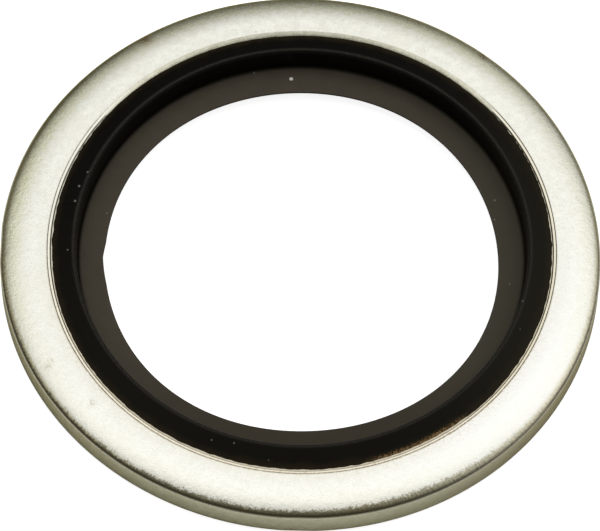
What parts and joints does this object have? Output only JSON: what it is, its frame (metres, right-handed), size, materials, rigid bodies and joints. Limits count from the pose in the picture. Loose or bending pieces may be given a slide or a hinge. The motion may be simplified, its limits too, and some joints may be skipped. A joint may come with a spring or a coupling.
{
  "type": "self-centring bonded sealing washer",
  "caption": "Flat steel ring with a rubber sealing lip bonded into its bore and a thin rubber web that centres it on the bolt's thread.",
  "frame": {"origin": "on the bore's axis, half way through the steel ring's thickness, which is the centre of the whole part", "axes": "+Z along the bore's axis, out of the face with the rolled outer edge; the part is round, so X and Y are free"},
  "size_m": [0.035, 0.035, 0.0026],
  "materials": {
    "zinc_plated_steel": "bright zinc plating over tumbled stamped steel, satin, with a faint cloudy grain and dull edges",
    "nitrile_rubber": "black moulded rubber, satin, with a thin parting flash at the bond line"
  },
  "bodies": {
    "root": {"steel_ring": "zinc_plated_steel", "rubber_seal": "nitrile_rubber"}
  },
  "joints": []
}
